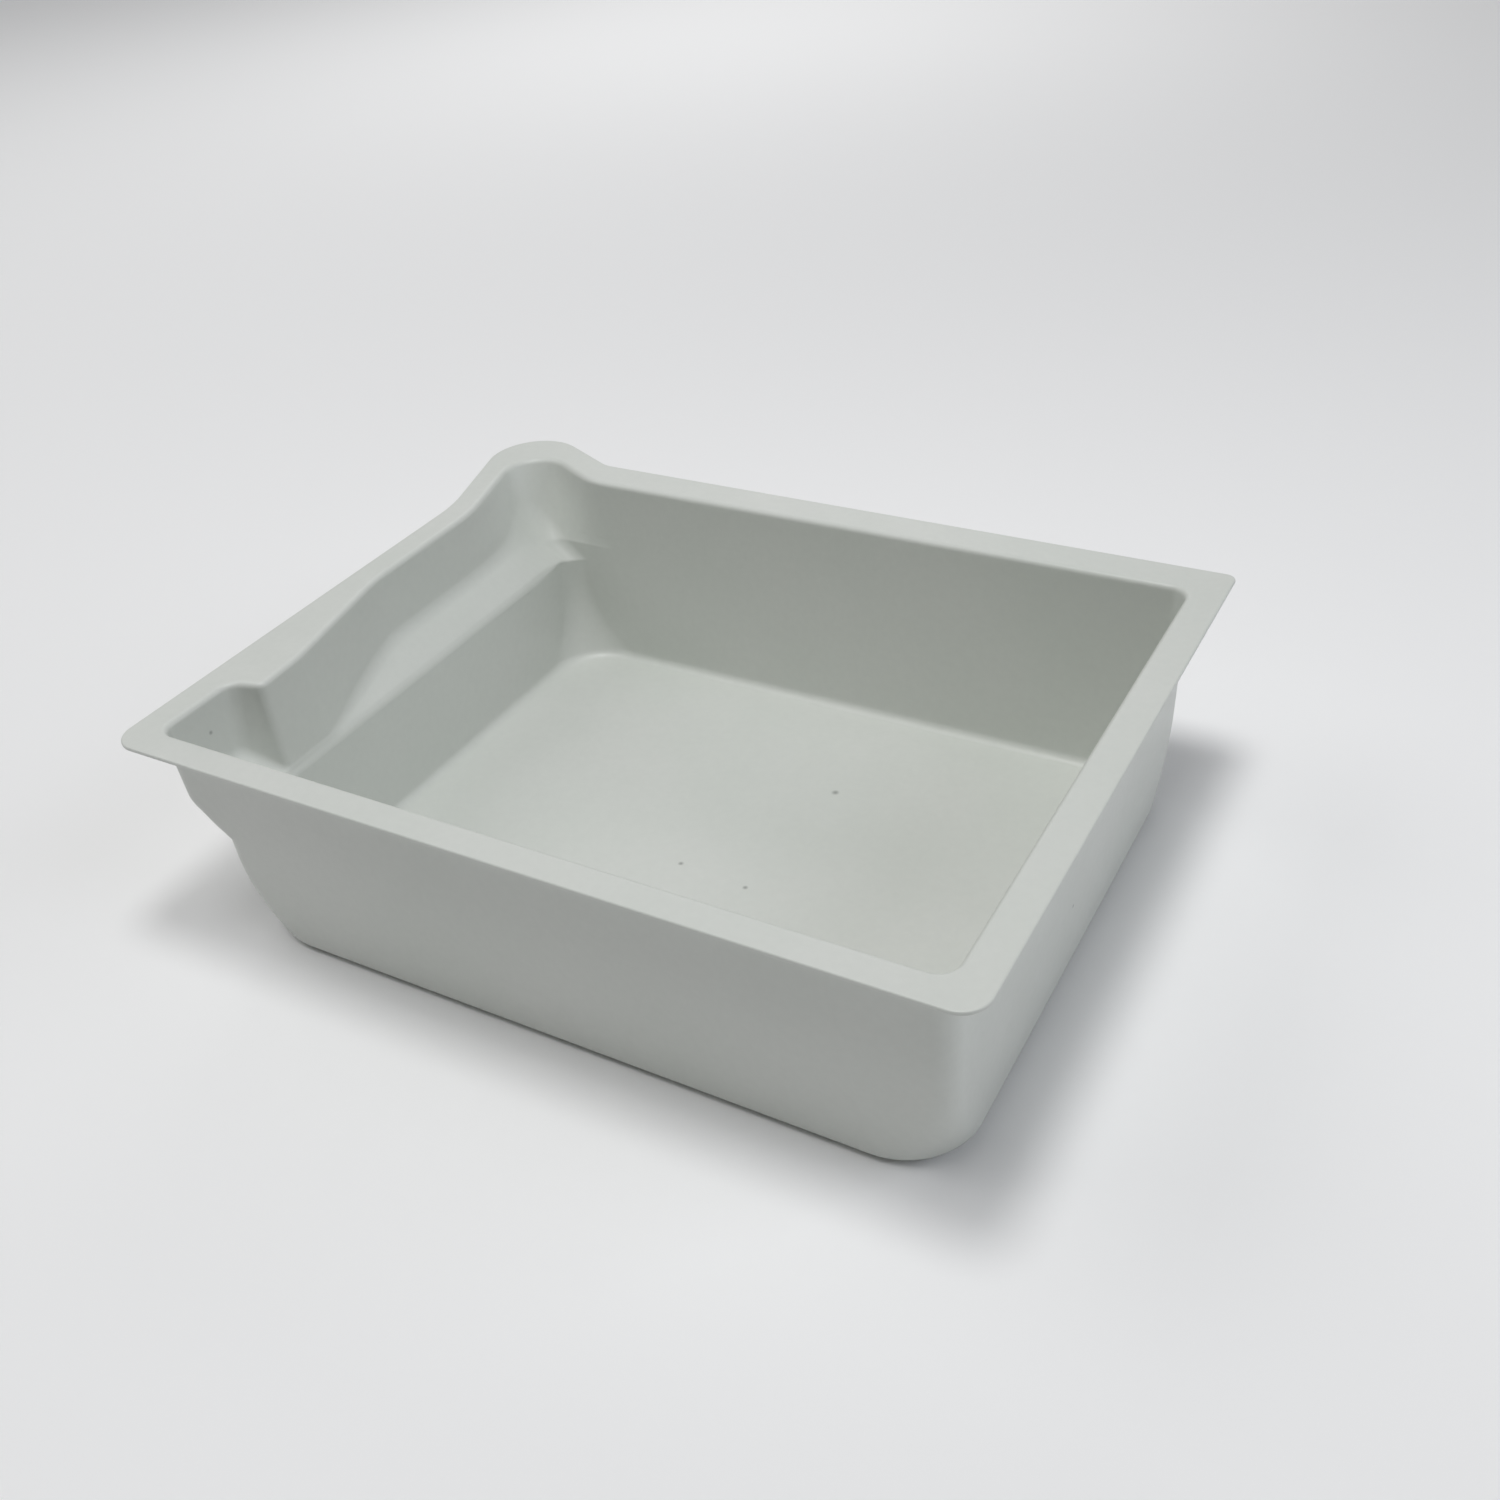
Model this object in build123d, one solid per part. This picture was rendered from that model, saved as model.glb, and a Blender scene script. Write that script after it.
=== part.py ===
from build123d import *
import math
import os

# A deep plastic tray for paint and a roller, moulded in one piece: a flat rim, a tub with lightly
# drafted walls and corners that roll into the floor, a shallow stepped end with a sloped shelf, a
# nose on the wall of that end, and a pouring spout in one back corner.
#
# While it is modelled, X runs along the rim from the stepped end, Y from front to back, and the top
# of the rim is at Z = 0. At the end the tray is moved so that its origin is the centre of its
# bounding box, at the base. Sizes are in millimetres, angles in degrees.

# ---- driving dimensions ----
SHEET = 2.0             # thickness of the moulded sheet
RIM_LENGTH = 400.0      # rim along X
RIM_WIDTH = 312.0       # rim along Y
DEPTH = 111.0           # top of the rim to the underside of the floor
FLOOR_DEPTH = DEPTH - SHEET

# lean of the riser and of each wall
RISER_DRAFT = 1.2
DRAFT_LEFT = 3.0
DRAFT_RIGHT = 1.5
DRAFT_FRONT = 1.9
DRAFT_BACK = 0.9

# rim: from its edge to the plane of each wall, and its corners
FLANGE_LEFT = 14.9
FLANGE_RIGHT = 16.5
FLANGE_FRONT = 15.0
FLANGE_BACK = 20.1
RIM_CORNER_FRONT = 12.0
RIM_CORNER_BACK = 5.0
LIP_ROUND = 2.5         # rounding from the rim down into the tray
LIP_STEPS = 3           # flats that make up the rounding

# tub: its upright corners roll into a large radius at the floor
TUB_CORNER = 8.5
TUB_CORNER_SPOUT_SIDE = 12.0
CORNER_GROWTH = 27.5
CORNER_START = 63.0     # depth at which a corner starts to grow
FLOOR_ROUND = 4.5       # between the walls and the floor

# stepped end
RISER_X = 33.0          # plane of the riser, carried up to the rim
TUB_TOP = 45.0          # the tub alone starts here, just above the riser's top edge
SHELF_TOP = 34.5        # depth of the shelf where it leaves the left wall
SHELF_ANGLE = 39.3      # fall of the shelf towards the riser
SHELF_SLOPE = math.tan(math.radians(SHELF_ANGLE))
RISER_ROUND = 2.5       # on the edge between the shelf and the riser
END_CORNER = 7.0        # upright corner at the front of the shelf
SHELF_LOW = 60.0        # the hollow over the shelf ends at this level, inside the tub
CLEAR = 40.0            # how far a cutting solid reaches past the tray

# nose on the left wall: pocket in front of it, tip, flank and end, at the rim and at CORNER_START
POCKET_Y = (57.0, 46.0)
NOSE_TIP_X = (31.1, 33.0)
NOSE_TIP_Y = (61.0, 61.5)
NOSE_FLANK_X = (29.8, 33.0)
NOSE_FLANK_Y = (87.0, 92.0)
NOSE_END_Y = (159.5, 152.0)
POCKET_ROUND = 8.0
NOSE_TIP_ROUND = 4.6
NOSE_FLANK_ROUND = 20.0
NOSE_END_ROUND = 80.0

# spout: where its flares leave the walls and how far its tip stands out past them, at the rim and
# at the depth where it has run back into the corner of the walls
SPOUT_DEPTH = 40.0
SPOUT_LEFT_Y = (238.0, 246.0)
SPOUT_BACK_X = (54.0, 50.0)
SPOUT_REACH_X = (24.2, 0.4)
SPOUT_REACH_Y = (32.2, 0.4)
SPOUT_TIP_ROUND = (17.8, 12.0)
SPOUT_LEFT_ROUND = 75.0     # at the rim, and wider as the flare flattens
SPOUT_BACK_ROUND = 32.0
SPOUT_FLATTEST = 0.03       # share of the flare that is left at SPOUT_DEPTH

# the rim round the spout
SPOUT_RIM_LEFT_Y = 240.8
SPOUT_RIM_BACK_X = 52.3
SPOUT_RIM_TIP = (-32.6, 352.4)
SPOUT_RIM_LEFT_ROUND = 83.0
SPOUT_RIM_BACK_ROUND = 17.0
SPOUT_RIM_TIP_ROUND = 26.2


def lean(depth, angle):
    """How far a wall that leans at an angle has moved inwards at a depth."""
    return depth * math.tan(math.radians(angle))


def walls(depth):
    """The inner planes of the four walls at a depth: left, right, front, back."""
    return (
        FLANGE_LEFT + lean(depth, DRAFT_LEFT),
        RIM_LENGTH - FLANGE_RIGHT - lean(depth, DRAFT_RIGHT),
        FLANGE_FRONT + lean(depth, DRAFT_FRONT),
        RIM_WIDTH - FLANGE_BACK - lean(depth, DRAFT_BACK),
    )


def outline(points, radii, depth, grow=0.0):
    """A closed counterclockwise outline at a depth, rounded at each point and grown outwards."""
    corners = [Vector(*point) for point in points]
    grown = []
    grown_radii = []
    for index, corner in enumerate(corners):
        arrive = (corner - corners[index - 1]).normalized()
        leave = (corners[(index + 1) % len(corners)] - corner).normalized()
        outwards = Vector(arrive.Y + leave.Y, -arrive.X - leave.X)
        moved = corner + outwards * (grow / (1 + arrive.dot(leave)))
        grown.append((moved.X, moved.Y))
        convex = arrive.X * leave.Y - arrive.Y * leave.X > 0
        grown_radii.append(radii[index] + (grow if convex else -grow))
    wire = FilletPolyline(*grown, radius=grown_radii, close=True)
    return Pos(0, 0, -depth) * make_face(wire)


def opening(depth, grow):
    """The hollow above the shelf, with its nose and spout, in plan at a depth."""
    left, right, front, back = walls(depth)

    def along(pair, end):
        return pair[0] + (pair[1] - pair[0]) * min(depth / end, 1)

    def nose(pair):
        return along(pair, CORNER_START)

    def spout(pair):
        return along(pair, SPOUT_DEPTH)

    flare = max(1 - depth / SPOUT_DEPTH, SPOUT_FLATTEST)
    corners = [
        ((left, front), END_CORNER),
        ((right, front), TUB_CORNER),
        ((right, back), TUB_CORNER),
        ((spout(SPOUT_BACK_X), back), SPOUT_BACK_ROUND / flare),
        ((left - spout(SPOUT_REACH_X), back + spout(SPOUT_REACH_Y)), spout(SPOUT_TIP_ROUND)),
        ((left, spout(SPOUT_LEFT_Y)), SPOUT_LEFT_ROUND / flare),
        ((left, nose(NOSE_END_Y)), NOSE_END_ROUND),
        ((nose(NOSE_FLANK_X), nose(NOSE_FLANK_Y)), NOSE_FLANK_ROUND),
        ((nose(NOSE_TIP_X), nose(NOSE_TIP_Y)), NOSE_TIP_ROUND),
        ((left, nose(POCKET_Y)), POCKET_ROUND),
    ]
    points, radii = zip(*corners)
    return outline(points, radii, depth, grow)


def shelf_depth(x, grow):
    """Depth of the shelf's plane at x, on the inner side of the sheet or grown through it."""
    through = grow / math.cos(math.radians(SHELF_ANGLE))
    return SHELF_TOP + through + (x - FLANGE_LEFT - lean(SHELF_TOP, DRAFT_LEFT)) * SHELF_SLOPE


def above_shelf(grow):
    """Everything over the shelf's plane, down to the level where the tub goes on alone."""
    low_x = (SHELF_LOW - shelf_depth(0, grow)) / SHELF_SLOPE
    start, end = -CLEAR, RIM_LENGTH + CLEAR
    profile = Polyline(
        (start, CLEAR),
        (start, -shelf_depth(start, grow)),
        (low_x, -SHELF_LOW),
        (end, -SHELF_LOW),
        (end, CLEAR),
        close=True,
    )
    return extrude(Plane.XZ * make_face(profile), -RIM_WIDTH - CLEAR)


def riser_edge(grow):
    """The sliver that rounding takes off the edge between the shelf and the riser."""
    radius = RISER_ROUND - grow
    depth = shelf_depth(RISER_X - grow, grow) / (1 - lean(1, RISER_DRAFT) * SHELF_SLOPE)
    corner = Vector(RISER_X - grow + lean(depth, RISER_DRAFT), 0, -depth)
    shelf = Vector(-1, 0, SHELF_SLOPE).normalized()
    riser = Vector(lean(1, RISER_DRAFT), 0, -1).normalized()
    half = math.radians(shelf.get_angle(riser) / 2)
    middle = (shelf + riser).normalized()
    start = corner + shelf * (radius / math.tan(half))
    end = corner + riser * (radius / math.tan(half))
    nearest = corner + middle * (radius / math.sin(half) - radius)
    section = make_face(Wire([Line(end, corner), Line(corner, start), ThreePointArc(start, nearest, end)]))
    front = FLANGE_FRONT + TUB_CORNER + SHEET
    back = RIM_WIDTH - FLANGE_BACK - TUB_CORNER_SPOUT_SIDE - SHEET
    return extrude(Pos(0, front, 0) * section, back - front, dir=(0, 1, 0))


def tub(grow):
    """The deep part, from the riser to the right wall."""

    def level(depth):
        _, right, front, back = walls(depth)
        left = RISER_X + lean(depth, RISER_DRAFT)
        share = max(depth - CORNER_START, 0) / (DEPTH - CORNER_START)
        growth = CORNER_GROWTH * share**2
        corners = [(left, front), (right, front), (right, back), (left, back)]
        radii = [TUB_CORNER + growth] * 3 + [TUB_CORNER_SPOUT_SIDE + growth]
        return outline(corners, radii, depth, grow)

    fall = FLOOR_DEPTH + grow - CORNER_START
    upper = loft([level(TUB_TOP), level(CORNER_START)], ruled=True)
    lower = loft([level(CORNER_START + fall * share) for share in (0, 0.25, 0.5, 0.75, 1)])
    floor = lower.faces().sort_by(Axis.Z)[0]
    return upper + fillet(floor.edges(), FLOOR_ROUND + grow)


def upper_hollow(grow):
    """The opening from the rim down: the rounded lip, then the walls with the nose and the spout."""
    sections = []
    top = SHEET / 2
    if grow == 0:
        top = LIP_ROUND
        for step in range(LIP_STEPS):
            turn = math.pi / 2 * (1 - step / LIP_STEPS)
            depth = LIP_ROUND * (1 - math.sin(turn))
            sections.append(opening(depth, LIP_ROUND * (1 - math.cos(turn))))
    for depth in (top, SPOUT_DEPTH, CORNER_START):
        sections.append(opening(depth, grow))
    return loft(sections, ruled=True)


def hollow(grow):
    """The inside of the tray, or the same grown through the sheet to its outer side."""
    return (upper_hollow(grow) & above_shelf(grow)) + tub(grow) + riser_edge(grow)


def rim():
    """The flat rim, filled in; the hollow is cut through it later."""
    corners = [
        ((0, 0), RIM_CORNER_FRONT),
        ((RIM_LENGTH, 0), RIM_CORNER_FRONT),
        ((RIM_LENGTH, RIM_WIDTH), RIM_CORNER_BACK),
        ((SPOUT_RIM_BACK_X, RIM_WIDTH), SPOUT_RIM_BACK_ROUND),
        (SPOUT_RIM_TIP, SPOUT_RIM_TIP_ROUND),
        ((0, SPOUT_RIM_LEFT_Y), SPOUT_RIM_LEFT_ROUND),
    ]
    points, radii = zip(*corners)
    return extrude(outline(points, radii, 0), -SHEET)


tray = rim() + hollow(SHEET) - hollow(0)
box = tray.bounding_box()
tray = Pos(-box.center().X, -box.center().Y, -box.min.Z) * tray

os.makedirs("parts", exist_ok=True)
export_step(tray, "parts/tray.step")
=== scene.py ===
"""The look of the plastic tray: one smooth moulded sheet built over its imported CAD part."""

import math

import bpy
import numpy as np
from mathutils import Matrix, Vector, geometry


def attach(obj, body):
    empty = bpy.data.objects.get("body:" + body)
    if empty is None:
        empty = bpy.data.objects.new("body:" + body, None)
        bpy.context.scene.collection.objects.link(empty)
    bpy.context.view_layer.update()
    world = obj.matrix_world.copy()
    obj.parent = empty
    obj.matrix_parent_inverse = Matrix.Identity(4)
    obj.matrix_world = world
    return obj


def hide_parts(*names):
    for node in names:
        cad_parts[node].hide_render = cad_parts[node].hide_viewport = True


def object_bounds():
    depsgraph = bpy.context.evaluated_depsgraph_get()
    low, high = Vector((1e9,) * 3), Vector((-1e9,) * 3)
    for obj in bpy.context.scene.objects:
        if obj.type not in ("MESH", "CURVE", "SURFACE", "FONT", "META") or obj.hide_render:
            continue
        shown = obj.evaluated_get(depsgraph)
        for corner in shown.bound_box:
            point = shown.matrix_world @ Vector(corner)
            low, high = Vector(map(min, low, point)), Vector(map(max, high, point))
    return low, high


# ---- the tray's sizes, in millimetres and degrees ----
# X runs along the rim from its stepped end, Y from its front edge to its back edge, and depth is
# measured down from the top of the rim.
RIM_LENGTH = 400.0
RIM_WIDTH = 312.0
SHEET = 2.0
DEPTH = 111.0
FLOOR_DEPTH = DEPTH - SHEET
RISER_DRAFT = 1.2
DRAFT_LEFT = 3.0
DRAFT_RIGHT = 1.5
DRAFT_FRONT = 1.9
DRAFT_BACK = 0.9
FLANGE_LEFT = 14.9
FLANGE_RIGHT = 16.5
FLANGE_FRONT = 15.0
FLANGE_BACK = 20.1
LIP_ROUND = 2.5
UNDER_ROUND = 1.0
EDGE_ROUND = 0.7

TUB_CORNER = 8.5
TUB_CORNER_SPOUT_SIDE = 12.0
CORNER_GROWTH = 27.5
CORNER_START = 63.0
FLOOR_ROUND = 4.5

RISER_X = 33.0
SHELF_TOP = 34.5
SHELF_ANGLE = math.radians(39.3)
RISER_ROUND = 2.5
END_CORNER = 7.0

# nose on the left wall: pocket in front of it, tip, flank and end, at the rim and at CORNER_START
POCKET_Y = (57.0, 46.0)
NOSE_TIP_X = (31.1, 33.0)
NOSE_TIP_Y = (61.0, 61.5)
NOSE_FLANK_X = (29.8, 33.0)
NOSE_FLANK_Y = (87.0, 92.0)
NOSE_END_Y = (159.5, 152.0)
POCKET_ROUND = 8.0
NOSE_TIP_ROUND = 4.6
NOSE_FLANK_ROUND = 20.0
NOSE_END_ROUND = 80.0

# spout: where its flares leave the walls and how far its tip stands out, at the rim and at the depth
# where it has run back into the corner of the walls
SPOUT_DEPTH = 40.0
SPOUT_LEFT_Y = (238.0, 246.0)
SPOUT_BACK_X = (54.0, 50.0)
SPOUT_REACH_X = (24.2, 0.4)
SPOUT_REACH_Y = (32.2, 0.4)
SPOUT_TIP_ROUND = (17.8, 12.0)
SPOUT_LEFT_ROUND = 75.0
SPOUT_BACK_ROUND = 32.0
SPOUT_FLATTEST = 0.03

# the rim's outline, anticlockwise from the front corner of the stepped end, and its roundings
RIM_POINTS = [(0, 0), (RIM_LENGTH, 0), (RIM_LENGTH, RIM_WIDTH), (52.3, RIM_WIDTH)]
RIM_POINTS += [(-32.57, 352.29), (0, 240.8)]
RIM_CORNERS = [12.0, 12.0, 5.0, 17.0, 26.2, 83.0]

# between these depths the shelf, the nose and the tub are blended into one outline
BLEND_TOP = 19.0
BLEND_END = 61.0

# how finely the mesh follows the shape
ARC_STEP = math.radians(4)
TRACK_STEP = 1.0
FLAT_STEP = 9.0
TURN_STEP = math.radians(5)


def lean(depth, angle):
    return depth * math.tan(math.radians(angle))


def walls(depth):
    """The inner planes of the four walls at a depth: left, right, front, back."""
    return (
        FLANGE_LEFT + lean(depth, DRAFT_LEFT),
        RIM_LENGTH - FLANGE_RIGHT - lean(depth, DRAFT_RIGHT),
        FLANGE_FRONT + lean(depth, DRAFT_FRONT),
        RIM_WIDTH - FLANGE_BACK - lean(depth, DRAFT_BACK),
    )


def unit(v):
    return v / np.linalg.norm(v)


def outline(points, radii, grow=0.0):
    """A closed anticlockwise line through points, rounded at each one and grown outwards."""
    points = [np.array(p, float) for p in points]
    count = len(points)
    grown, grown_radii = [], []
    for i, p in enumerate(points):
        arrive = unit(p - points[i - 1])
        leave = unit(points[(i + 1) % count] - p)
        out = np.array([arrive[1] + leave[1], -arrive[0] - leave[0]])
        grown.append(p + out * grow / (1 + arrive @ leave))
        convex = arrive[0] * leave[1] - arrive[1] * leave[0] > 0
        grown_radii.append(radii[i] + (grow if convex else -grow))
    line = []
    for i, p in enumerate(grown):
        back = unit(grown[i - 1] - p)
        on = unit(grown[(i + 1) % count] - p)
        half = math.acos(np.clip(back @ on, -1, 1)) / 2
        radius = grown_radii[i]
        start = p + back * radius / math.tan(half)
        centre = p + unit(back + on) * radius / math.sin(half)
        first = unit(start - centre)
        turn = math.pi - 2 * half
        steps = max(2, math.ceil(turn / ARC_STEP))
        for k in range(steps + 1):
            a = turn * k / steps
            line.append(centre + radius * (math.cos(a) * first - math.sin(a) * back))
    return np.array(line)


def opening(depth, grow=0.0):
    """The hollow above the shelf, with its nose and spout."""
    left, right, front, back = walls(depth)
    flare = max(1 - min(depth / SPOUT_DEPTH, 1), SPOUT_FLATTEST)

    def along(pair, end):
        return pair[0] + (pair[1] - pair[0]) * min(depth / end, 1)

    def nose(pair):
        return along(pair, CORNER_START)

    def spout(pair):
        return along(pair, SPOUT_DEPTH)

    corners = [
        ((left, front), END_CORNER),
        ((right, front), TUB_CORNER),
        ((right, back), TUB_CORNER),
        ((spout(SPOUT_BACK_X), back), SPOUT_BACK_ROUND / flare),
        ((left - spout(SPOUT_REACH_X), back + spout(SPOUT_REACH_Y)), spout(SPOUT_TIP_ROUND)),
        ((left, spout(SPOUT_LEFT_Y)), SPOUT_LEFT_ROUND / flare),
        ((left, nose(NOSE_END_Y)), NOSE_END_ROUND),
        ((nose(NOSE_FLANK_X), nose(NOSE_FLANK_Y)), NOSE_FLANK_ROUND),
        ((nose(NOSE_TIP_X), nose(NOSE_TIP_Y)), NOSE_TIP_ROUND),
        ((left, nose(POCKET_Y)), POCKET_ROUND),
    ]
    points, radii = zip(*corners)
    return outline(points, radii, grow)


def tub(depth, grow=0.0):
    """The deep part, from the riser to the right wall."""
    _, right, front, back = walls(depth)
    left = RISER_X + lean(depth, RISER_DRAFT)
    share = max(depth - CORNER_START, 0) / (DEPTH - CORNER_START)
    growth = CORNER_GROWTH * share**2
    points = [(left, front), (right, front), (right, back), (left, back)]
    return outline(points, [TUB_CORNER + growth] * 3 + [TUB_CORNER_SPOUT_SIDE + growth], grow)


def rim(inset):
    return outline(RIM_POINTS, RIM_CORNERS, -inset)


def inside(points, line):
    """Distance of each point from a closed anticlockwise line, negative inside it."""
    step = np.roll(line, -1, 0) - line
    to = points[:, None] - line[None]
    share = np.clip((to * step).sum(2) / (step * step).sum(1), 0, 1)
    off = to - share[..., None] * step
    gap = (off * off).sum(2)
    near = gap.argmin(1)
    rows = np.arange(len(points))
    turn = step[near, 0] * off[rows, near, 1] - step[near, 1] * off[rows, near, 0]
    return np.where(turn > 0, -1.0, 1.0) * np.sqrt(gap[rows, near])


def both(a, b, radius):
    """What is inside a and b, with the corner between them rounded."""
    corner = np.hypot(np.maximum(radius + a, 0), np.maximum(radius + b, 0))
    return np.minimum(-radius, np.maximum(a, b)) + corner


def either(a, b, radius):
    """What is inside a or b, with the edge between them rounded."""
    return -both(-a, -b, radius)


def ease(x, low, high):
    t = np.clip((x - low) / (high - low), 0, 1)
    return t * t * (3 - 2 * t)


def step_field(depth):
    """The hollow at a depth near the shelf, as a field that is negative inside it."""
    upper, lower = opening(depth), tub(depth)

    def field(points):
        x, y = points.T
        shelf = SHELF_TOP + (x - FLANGE_LEFT - lean(SHELF_TOP, DRAFT_LEFT)) * math.tan(SHELF_ANGLE)
        under = (depth - shelf) * math.cos(SHELF_ANGLE)
        near_riser = ease(x, 24, 33)
        at_back = ease(y, 262, 280)
        fillet = 3.5 - 1.5 * near_riser * (1 - at_back) + 3.5 * at_back
        above = both(inside(points, upper), under, fillet)
        along_riser = ease(y, 24, 36) * ease(y, 282, 266) * ease(x, 60, 45)
        edge = RISER_ROUND * ease(depth, 45, 48) * along_riser
        return either(above, inside(points, lower), np.maximum(edge, 1e-3))

    return field


def settle(points, field, rounds=3):
    """Moves points onto the field's zero line, each one straight towards it."""
    tick = 0.01
    for _ in range(rounds):
        value = field(points)
        slope = np.stack(
            [(field(points + [tick, 0]) - value) / tick, (field(points + [0, tick]) - value) / tick], 1
        )
        push = value / np.maximum((slope**2).sum(1), 0.2)
        points = points - slope * push[:, None]
    return points


def divide(line, step):
    """The same closed line with points no further apart than step."""
    out = []
    for a, b in zip(line, np.roll(line, -1, 0)):
        parts = max(1, math.ceil(np.linalg.norm(b - a) / step))
        out += [a + (b - a) * k / parts for k in range(parts)]
    return np.array(out)


def even(line, step):
    """The same closed line with points step apart."""
    gaps = np.linalg.norm(np.roll(line, -1, 0) - line, axis=1)
    along = np.concatenate([[0], gaps.cumsum()])
    wanted = np.linspace(0, along[-1], max(8, round(along[-1] / step)), endpoint=False)
    closed = np.vstack([line, line[:1]])
    return np.stack([np.interp(wanted, along, closed[:, k]) for k in (0, 1)], 1)


# rays that keep every ring's points in step, and how many points follow each one
ANCHORS = [
    ((200, 156), (1, 0), 64),
    ((200, 156), (0, 1), 56),
    ((75, 267), (-0.878, 0.479), 46),
    ((200, 200), (-1, 0), 34),
    ((200, 110), (-1, 0), 110),
    ((200, 156), (0, -1), 64),
]


def sample(line):
    """A ring of points on a line: close together where it turns, and in step with the anchors."""
    line = divide(line, TRACK_STEP)
    step = np.roll(line, -1, 0) - line
    gaps = np.linalg.norm(step, axis=1)
    heading = np.unwrap(np.arctan2(step[:, 1], step[:, 0]))
    turn = np.abs(heading - np.roll(heading, 1))
    turn = np.minimum(turn, np.abs(turn - 2 * math.pi))
    spread = np.exp(-0.5 * (np.arange(-6, 7) / 2.0) ** 2)
    spread /= spread.sum()
    turn = sum(w * np.roll(turn, k - 6) for k, w in enumerate(spread))
    weight = gaps / FLAT_STEP + turn / TURN_STEP
    along = np.concatenate([[0], weight.cumsum()])
    total = along[-1]
    closed = np.vstack([line, line[:1]])
    stops = []
    for origin, direction, _ in ANCHORS:
        d = np.array(direction, float)
        to = closed - np.array(origin, float)
        side = d[0] * to[:, 1] - d[1] * to[:, 0]
        ahead = to @ d
        hits = np.nonzero((side[:-1] <= 0) & (side[1:] > 0) & (ahead[:-1] > 0))[0]
        k = hits[ahead[hits].argmax()]
        share = side[k] / (side[k] - side[k + 1])
        stops.append(along[k] + share * (along[k + 1] - along[k]))
    ring = []
    for k, (_, _, count) in enumerate(ANCHORS):
        start, end = stops[k], stops[(k + 1) % len(stops)]
        if end <= start:
            end += total
        ring.append(np.linspace(start, end, count, endpoint=False) % total)
    ring = np.concatenate(ring)
    return np.stack([np.interp(ring, along, closed[:, k]) for k in (0, 1)], 1)


def quarter(steps):
    """Angles of a quarter turn, its two ends included."""
    return [math.pi / 2 * k / steps for k in range(steps + 1)]


def lip_rings(centre_depth, centre_reach, radius):
    """Rings round a quarter circle between the flat of the rim and a wall."""
    rings = []
    for a in quarter(6):
        depth = centre_depth - radius * math.cos(a)
        rings.append((depth, opening(depth, centre_reach - radius * math.sin(a))))
    return rings


def hollow_rings():
    """Rings down the inner side of the sheet, from under its lip to the flat of the floor."""
    rings = [(depth, opening(depth)) for depth in np.arange(4, BLEND_TOP, 2.0)]
    line = even(opening(BLEND_TOP - 1), TRACK_STEP)
    coarse, fine = np.arange(BLEND_TOP, 30, 1.0), np.arange(30, 52, 0.6)
    for depth in [*coarse, *fine, *np.arange(52, BLEND_END, 1.5)]:
        line = even(settle(line, step_field(depth)), TRACK_STEP)
        rings.append((depth, line))
    floor_start = FLOOR_DEPTH - FLOOR_ROUND
    rings += [(depth, tub(depth)) for depth in np.arange(BLEND_END + 1, floor_start - 1, 2.5)]
    for a in quarter(8):
        depth = floor_start + FLOOR_ROUND * math.sin(a)
        rings.append((depth, tub(depth, -FLOOR_ROUND * (1 - math.cos(a)))))
    rings.append((FLOOR_DEPTH, tub(FLOOR_DEPTH, -FLOOR_ROUND - 0.7)))
    return rings


def ring_points(rings):
    """The rings as one grid of points, row by row."""
    rows = []
    for depth, line in rings:
        points = sample(line)
        rows.append(np.column_stack([points, np.full(len(points), -depth)]))
    return np.array(rows)


def facing(grid):
    """The direction out of the sheet's inner side at each point of a grid of rings."""
    across = np.roll(grid, -1, 1) - grid
    down = grid[1:] - grid[:-1]
    face = np.cross(across[:-1], down) + np.cross(across[1:], down)
    face += np.cross(across[:-1], np.roll(down, -1, 1)) + np.cross(across[1:], np.roll(down, -1, 1))
    face /= np.linalg.norm(face, axis=2, keepdims=True)
    face = face + np.roll(face, 1, 1)
    normal = np.zeros_like(grid)
    normal[:-1] += face
    normal[1:] += face
    normal[-1] = normal[-2] = (0, 0, 1)
    return normal / np.linalg.norm(normal, axis=2, keepdims=True)


def loop_faces(first, second, count):
    """Quads between two rings, given each one's first vertex; they face up when second is inside."""
    return [
        (first + i, first + (i + 1) % count, second + (i + 1) % count, second + i) for i in range(count)
    ]


def flat_ring(outer, inner):
    """Triangles between two closed lines in a plane, facing up; vertices are outer's, then inner's."""
    points = [Vector(p) for p in np.vstack([outer, inner])]
    a, b = len(outer), len(inner)
    edges = [(i, (i + 1) % a) for i in range(a)] + [(a + i, a + (i + 1) % b) for i in range(b)]
    made, _, faces, source, _, _ = geometry.delaunay_2d_cdt(points, edges, [], 1, 1e-6)
    middles = np.array([np.mean([made[v] for v in face], 0) for face in faces])
    kept = inside(middles, inner) > 0
    out = []
    for face, keep in zip(faces, kept):
        if keep:
            face = [source[v][0] for v in face]
            p, q, r = (points[v] for v in face)
            flip = (q - p).cross(r - p) < 0
            out.append(tuple(reversed(face)) if flip else tuple(face))
    return out


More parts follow.
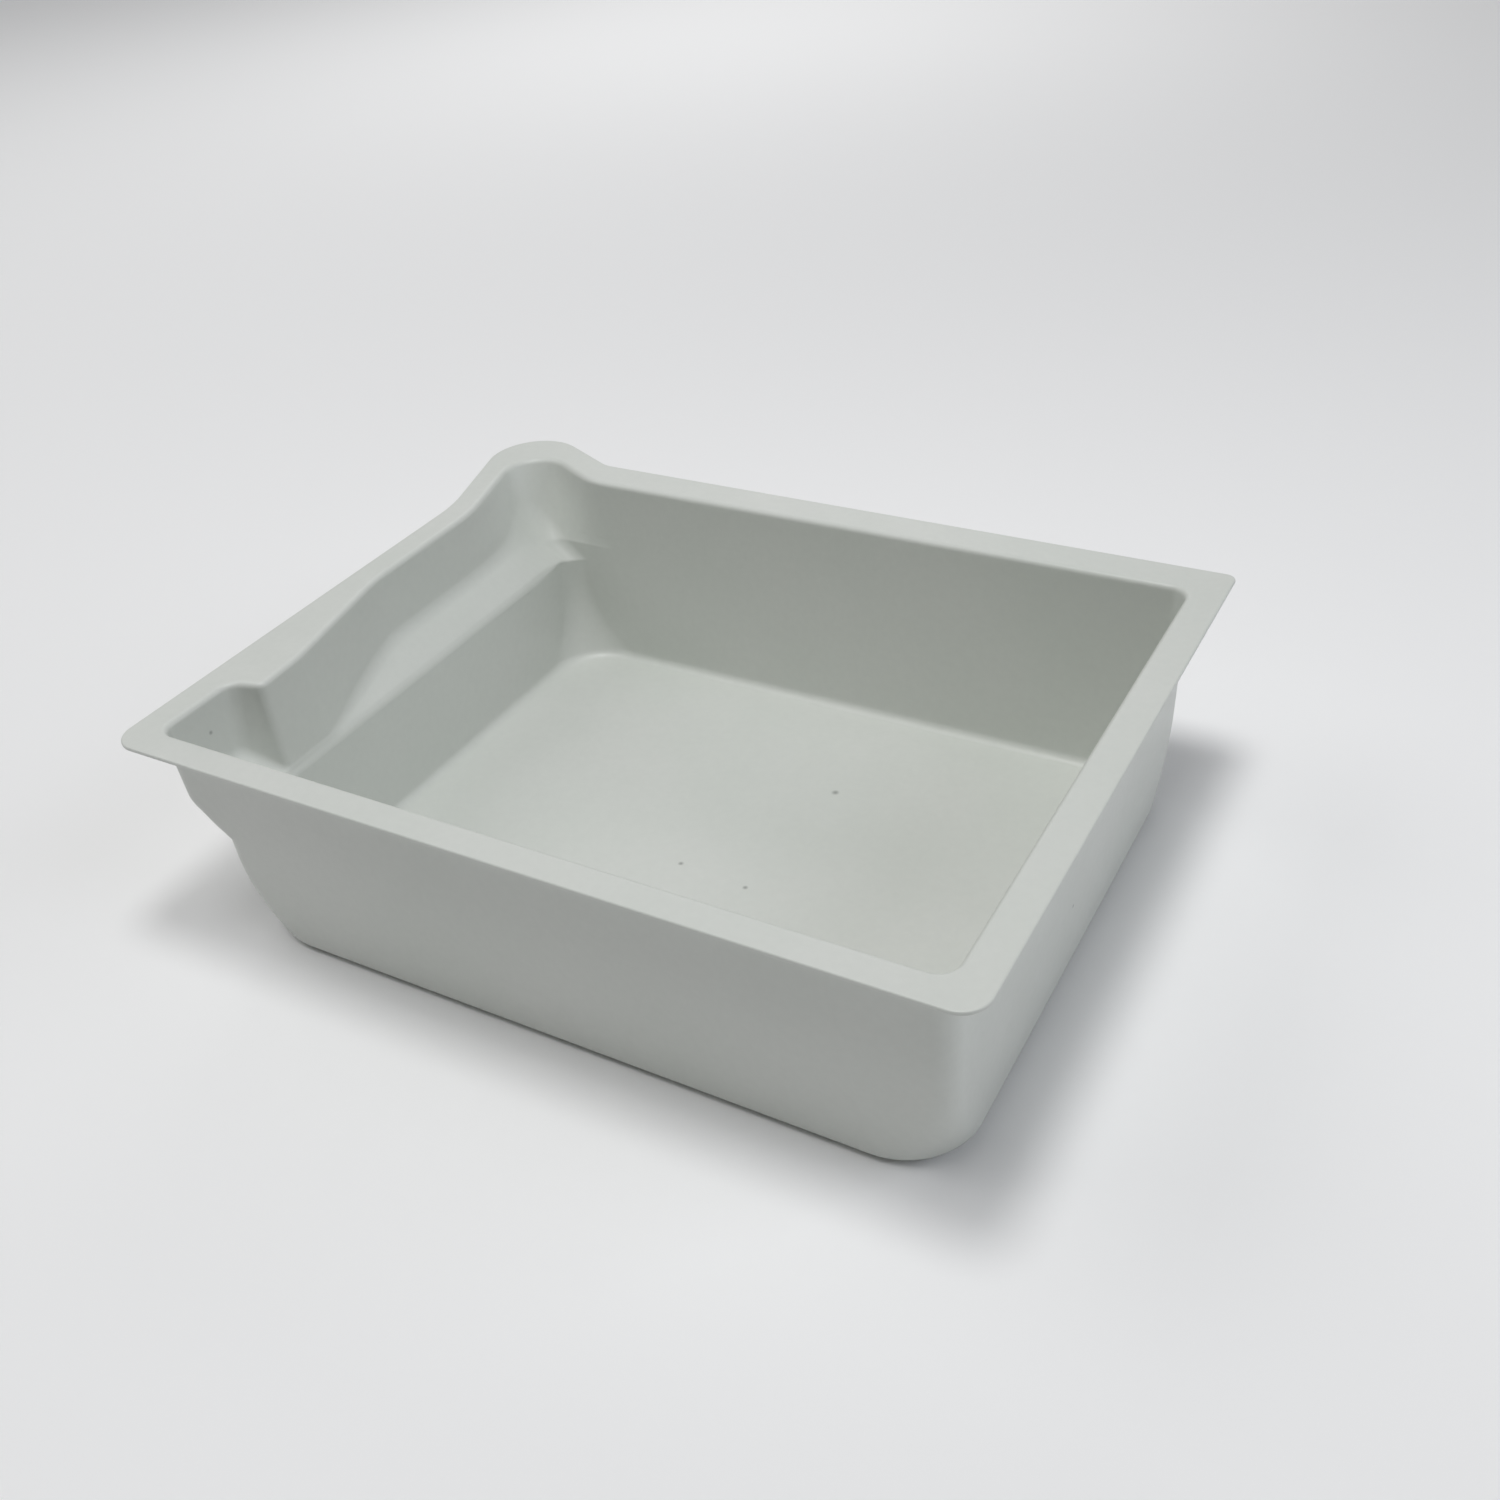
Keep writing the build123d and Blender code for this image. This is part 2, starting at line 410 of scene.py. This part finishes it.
def build_sheet():
    """The tray's vertices and faces, both sides of the sheet, in millimetres on the rim's axes."""
    grid = ring_points(hollow_rings())
    back = grid - SHEET * facing(grid)
    flat = opening(0, LIP_ROUND + 0.5)
    lip = ring_points([(0, flat)] + lip_rings(LIP_ROUND, LIP_ROUND, LIP_ROUND))
    turn = SHEET + UNDER_ROUND
    under_lip = ring_points([(SHEET, opening(SHEET, turn + 0.5))] + lip_rings(turn, turn, UNDER_ROUND))
    floor = grid[-1]
    centre = floor.mean(0)
    shrunk = [centre + (floor - centre) * s for s in (0.93, 0.75, 0.5, 0.22)]
    inner = np.concatenate([lip, grid, shrunk])
    outer = np.concatenate([under_lip, back, [ring - (0, 0, SHEET) for ring in shrunk]])
    count = grid.shape[1]
    rows = len(inner)
    vertices = [*inner.reshape(-1, 3), *outer.reshape(-1, 3)]
    other = rows * count
    faces = []
    for r in range(rows - 1):
        faces += loop_faces(r * count, (r + 1) * count, count)
        faces += [f[::-1] for f in loop_faces(other + r * count, other + (r + 1) * count, count)]
    last = (rows - 1) * count
    faces.append(tuple(range(last, last + count)))
    faces.append(tuple(range(other + last + count - 1, other + last - 1, -1)))

    profile = [(EDGE_ROUND + 0.4, 0.0)]
    profile += [(EDGE_ROUND * (1 - math.sin(a)), -EDGE_ROUND * (1 - math.cos(a))) for a in quarter(4)]
    profile += [(inset, -SHEET - z) for inset, z in reversed(profile)]
    edge_start = len(vertices)
    for inset, z in profile:
        line = rim(inset)
        vertices += list(np.column_stack([line, np.full(len(line), z)]))
    size = len(line)
    for k in range(len(profile) - 1):
        faces += loop_faces(edge_start + (k + 1) * size, edge_start + k * size, size)

    edge = list(range(edge_start, edge_start + size))
    for face in flat_ring(rim(profile[0][0]), inner[0][:, :2]):
        faces.append(tuple((edge + list(range(count)))[v] for v in face))
    below = edge_start + (len(profile) - 1) * size
    edge = list(range(below, below + size))
    for face in flat_ring(rim(profile[0][0]), outer[0][:, :2]):
        faces.append(tuple((edge + list(range(other, other + count)))[v] for v in reversed(face)))
    return np.array(vertices), faces


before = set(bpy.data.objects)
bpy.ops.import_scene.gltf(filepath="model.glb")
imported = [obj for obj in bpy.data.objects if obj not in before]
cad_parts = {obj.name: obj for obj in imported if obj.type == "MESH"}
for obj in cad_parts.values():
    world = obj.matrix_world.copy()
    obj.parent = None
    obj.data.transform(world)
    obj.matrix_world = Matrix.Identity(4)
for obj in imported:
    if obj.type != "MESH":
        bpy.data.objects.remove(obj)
cad_low, cad_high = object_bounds()
rim_corner = Vector((cad_high.x - RIM_LENGTH / 1000, cad_low.y, cad_high.z))

vertices, faces = build_sheet()
mesh = bpy.data.meshes.new("tray_shell")
mesh.from_pydata([rim_corner + Vector(v) / 1000 for v in vertices], [], faces)
mesh.shade_smooth()
mesh.validate()
tray = bpy.data.objects.new("tray_shell", mesh)
bpy.context.collection.objects.link(tray)
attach(tray, "root")
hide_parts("tray")
print("tray_shell", len(mesh.vertices), len(mesh.polygons))


# ---- the plastic ----
# grey specks of dirt: place from the front left corner of the rim's top, and radius, in millimetres
SPECKS = [
    ((235, 219, -109), 2.6),
    ((192, 139, -109), 1.9),
    ((229, 136, -109), 1.9),
    ((381, 200, 0), 1.2),
    ((384.5, 191, -26), 1.0),
    ((383.5, 144, -72), 1.4),
    ((379, 14.5, -47), 1.4),
    ((378, 16, -75), 1.2),
    ((156, 14, -57), 1.1),
    ((15.5, 39, -16), 1.5),
]
SPECK_COVER = 0.65      # share of the plastic that a speck hides at its middle

CLOUD_DARK = (0.645, 0.672, 0.630, 1)
CLOUD_PALE = (0.675, 0.692, 0.657, 1)
MOTTLE = (0.55, 0.57, 0.54, 1)
DIRT = (0.17, 0.18, 0.17, 1)


def add_node(tree, kind, **values):
    """A node of a kind, with values for its settings and for its inputs by name."""
    node = tree.nodes.new(kind)
    for name, value in values.items():
        if name in node.inputs:
            node.inputs[name].default_value = value
        else:
            setattr(node, name, value)
    return node


def noise(tree, place, scale, detail):
    node = add_node(tree, "ShaderNodeTexNoise", Scale=scale, Detail=detail)
    tree.links.new(place, node.inputs["Vector"])
    return node.outputs["Fac"]


def spread(tree, value, low, high):
    """A noise value, most of which lies from 0.3 to 0.7, spread over low to high."""
    node = tree.nodes.new("ShaderNodeMapRange")
    tree.links.new(value, node.inputs["Value"])
    for socket, number in zip(("From Min", "From Max", "To Min", "To Max"), (0.3, 0.7, low, high)):
        node.inputs[socket].default_value = number
    return node.outputs["Result"]


def blend_colours(tree, share, first, second):
    """A mix of two colours, each one a constant or another node's output."""
    node = add_node(tree, "ShaderNodeMix", data_type="RGBA")
    tree.links.new(share, node.inputs[0])
    for socket, colour in ((node.inputs[6], first), (node.inputs[7], second)):
        if isinstance(colour, tuple):
            socket.default_value = colour
        else:
            tree.links.new(colour, socket)
    return node.outputs[2]


def dirt(tree, place):
    """How much of a speck covers each place, from 0 to 1."""
    covered = None
    for spot, radius in SPECKS:
        gap = add_node(tree, "ShaderNodeVectorMath", operation="DISTANCE")
        tree.links.new(place, gap.inputs[0])
        gap.inputs[1].default_value = rim_corner + Vector(spot) / 1000
        edge = tree.nodes.new("ShaderNodeMapRange")
        edge.interpolation_type = "SMOOTHSTEP"
        tree.links.new(gap.outputs["Value"], edge.inputs["Value"])
        edge.inputs["From Max"].default_value = radius / 1000
        edge.inputs["To Min"].default_value = SPECK_COVER
        edge.inputs["To Max"].default_value = 0
        if covered is None:
            covered = edge.outputs["Result"]
        else:
            both_specks = add_node(tree, "ShaderNodeMath", operation="MAXIMUM")
            tree.links.new(covered, both_specks.inputs[0])
            tree.links.new(edge.outputs["Result"], both_specks.inputs[1])
            covered = both_specks.outputs[0]
    return covered


def bump(tree, height, depth, strength, under=None):
    node = add_node(tree, "ShaderNodeBump", Distance=depth, Strength=strength)
    tree.links.new(height, node.inputs["Height"])
    if under is not None:
        tree.links.new(under, node.inputs["Normal"])
    return node.outputs["Normal"]


def plastic():
    """Off-white moulded plastic: cloudy colour, a fine grain, a satin gloss and a few specks."""
    material = bpy.data.materials.new("tray_plastic")
    material.use_nodes = True
    tree = material.node_tree
    shader = tree.nodes["Principled BSDF"]
    shader.inputs["IOR"].default_value = 1.49
    place = tree.nodes.new("ShaderNodeTexCoord").outputs["Object"]

    clouds = spread(tree, noise(tree, place, 11, 3), 0, 1)
    colour = blend_colours(tree, clouds, CLOUD_DARK, CLOUD_PALE)
    mottle = spread(tree, noise(tree, place, 260, 4), 0, 0.14)
    colour = blend_colours(tree, mottle, colour, MOTTLE)
    colour = blend_colours(tree, dirt(tree, place), colour, DIRT)
    tree.links.new(colour, shader.inputs["Base Color"])

    gloss = spread(tree, noise(tree, place, 45, 3), 0.36, 0.47)
    tree.links.new(gloss, shader.inputs["Roughness"])

    waves = bump(tree, noise(tree, place, 14, 2), 0.0006, 0.3)
    grain = bump(tree, noise(tree, place, 900, 3), 0.00004, 0.6, waves)
    tree.links.new(grain, shader.inputs["Normal"])
    return material


tray.data.materials.append(plastic())

# ---- the ground, the camera and the light ----
GROUND_REACH = 6.0
GROUND_GAP = 0.0002
corners = [(-GROUND_REACH, -GROUND_REACH, 0), (GROUND_REACH, -GROUND_REACH, 0)]
corners += [(GROUND_REACH, GROUND_REACH, 0), (-GROUND_REACH, GROUND_REACH, 0)]
ground_mesh = bpy.data.meshes.new("ground")
ground_mesh.from_pydata(corners, [], [(0, 1, 2, 3)])
ground = bpy.data.objects.new("ground", ground_mesh)
bpy.context.collection.objects.link(ground)
ground.location.z = cad_low.z - GROUND_GAP
ground_material = bpy.data.materials.new("ground")
ground_material.use_nodes = True
ground_shader = ground_material.node_tree.nodes["Principled BSDF"]
ground_shader.inputs["Base Color"].default_value = (0.95, 0.95, 0.95, 1)
ground_shader.inputs["Roughness"].default_value = 1.0
ground_shader.inputs["Specular IOR Level"].default_value = 0.0
ground.data.materials.append(ground_material)

CAMERA_FROM_CORNER = Vector((0.52987, -0.33365, 0.36021))
camera_data = bpy.data.cameras.new("camera")
camera_data.lens = 37.27
camera_data.sensor_width = 36
camera = bpy.data.objects.new("camera", camera_data)
bpy.context.collection.objects.link(camera)
right = Vector((0.87351, 0.48120, -0.07370))
up = Vector((-0.22507, 0.53345, 0.81534))
back = right.cross(up)
turn = Matrix((right, up, back)).transposed().to_4x4()
camera.matrix_world = Matrix.Translation(rim_corner + CAMERA_FROM_CORNER) @ turn
bpy.context.scene.camera = camera

WORLD_LIGHT = 0.12
BACKDROP_SHOWN = 0.8
world = bpy.data.worlds.new("studio")
bpy.context.scene.world = world
world.use_nodes = True
studio = world.node_tree
# the backdrop looks brighter than it lights the tray, so that it is pale in every view
dim = studio.nodes["Background"]
dim.inputs["Color"].default_value = (1, 1, 1, 1)
dim.inputs["Strength"].default_value = WORLD_LIGHT
backdrop = studio.nodes.new("ShaderNodeBackground")
backdrop.inputs["Strength"].default_value = BACKDROP_SHOWN
shown = studio.nodes.new("ShaderNodeMixShader")
studio.links.new(studio.nodes.new("ShaderNodeLightPath").outputs["Is Camera Ray"], shown.inputs[0])
studio.links.new(dim.outputs[0], shown.inputs[1])
studio.links.new(backdrop.outputs[0], shown.inputs[2])
studio.links.new(shown.outputs[0], studio.nodes["World Output"].inputs["Surface"])
bpy.context.scene.view_settings.view_transform = "Standard"


def soft_box(name, place, size, power, aim=Vector((0, 0, 0.05)), colour=(1, 1, 1)):
    """A round soft box that faces a place, which is the tray unless another is given."""
    data = bpy.data.lights.new(name, "AREA")
    data.shape = "DISK"
    data.size = size
    data.energy = power
    data.color = colour
    light = bpy.data.objects.new(name, data)
    bpy.context.collection.objects.link(light)
    light.location = place
    light.rotation_euler = (aim - light.location).to_track_quat("-Z", "Y").to_euler()


def soft_sky(name, to_front, to_right, energy, colour=(1, 1, 1)):
    """Soft light from far above, which leans to the front and to the right by angles in degrees."""
    data = bpy.data.lights.new(name, "SUN")
    data.energy = energy
    data.color = colour
    data.angle = math.radians(20)
    light = bpy.data.objects.new(name, data)
    bpy.context.collection.objects.link(light)
    light.rotation_euler = (math.radians(to_front), math.radians(to_right), 0)


BLUISH = (0.91, 0.94, 1.0)
soft_box("over_tray", Vector((0.10, -0.12, 1.2)), 0.3, 4.3)
soft_box("right", Vector((1.6, 0.6, 0.9)), 1.2, 6.0, colour=BLUISH)
soft_box("ground_behind", Vector((-1.0, 1.9, 1.2)), 1.4, 7.9, aim=Vector((-1.0, 1.9, 0)))
soft_box("ground_left", Vector((-1.8, -0.3, 1.8)), 2.0, 13.5, aim=Vector((-1.8, -0.3, 0)))
soft_sky("sky", 12, 0, 0.62)
soft_sky("sky_right", 0, 50, 0.2, (0.82, 0.87, 1.0))
